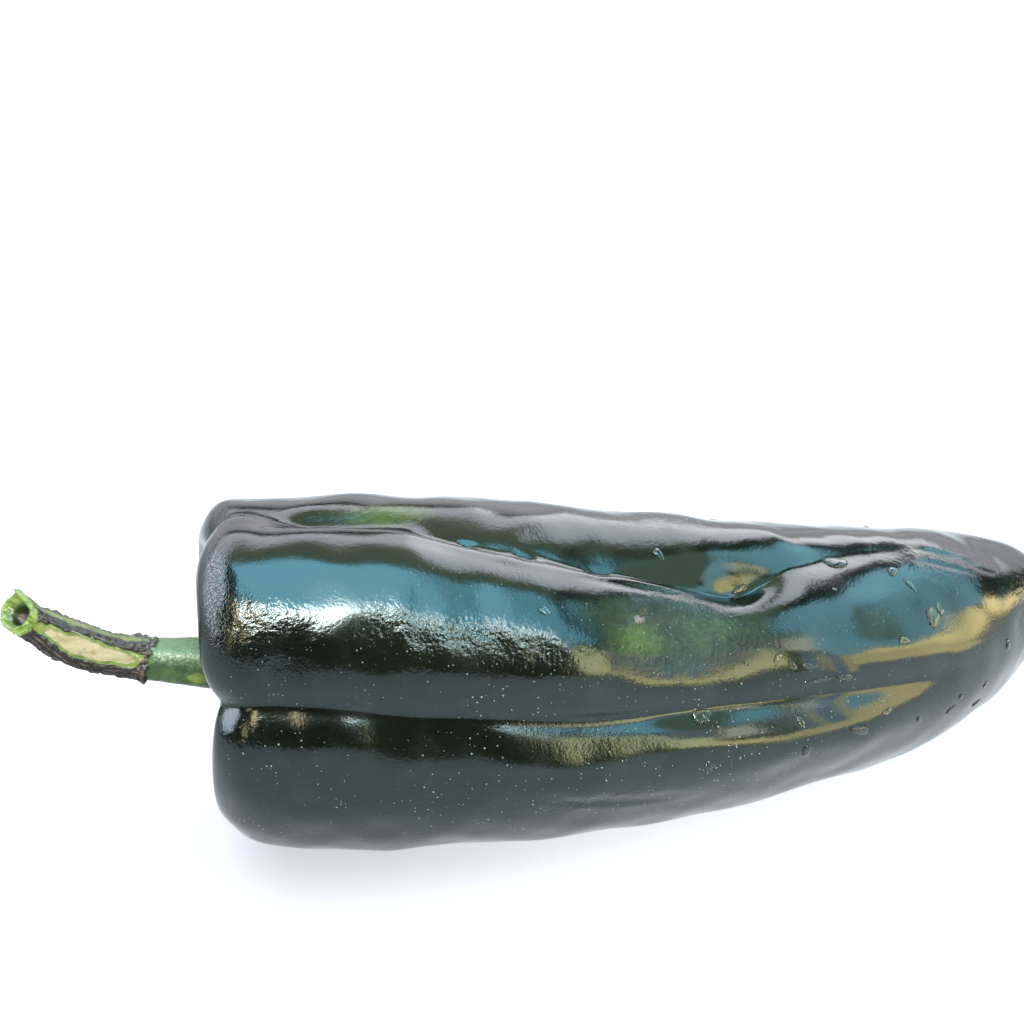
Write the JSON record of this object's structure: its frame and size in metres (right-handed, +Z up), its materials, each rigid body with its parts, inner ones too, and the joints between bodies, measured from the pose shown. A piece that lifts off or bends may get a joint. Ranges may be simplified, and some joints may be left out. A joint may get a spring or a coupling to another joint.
{
  "type": "poblano pepper",
  "caption": "Dark glossy green chili pepper lying on its side: a long lobed pod tapering to a blunt tip, with a deep stem basin and a curved cut stem.",
  "frame": {"origin": "on the ground, on the flat of the pod's underside, about 60 mm along the pod from its rim", "axes": "+X along the pod from the stem to the tip, +Z up as the pepper lies, -Y towards its near side"},
  "size_m": [0.1859, 0.0607, 0.0573],
  "materials": {
    "pod": "waxy, glossy dark green skin",
    "stem": "fresh green stem with corky brown bark"
  },
  "bodies": {
    "root": {"pod": "pod", "stem": "stem"}
  },
  "joints": []
}
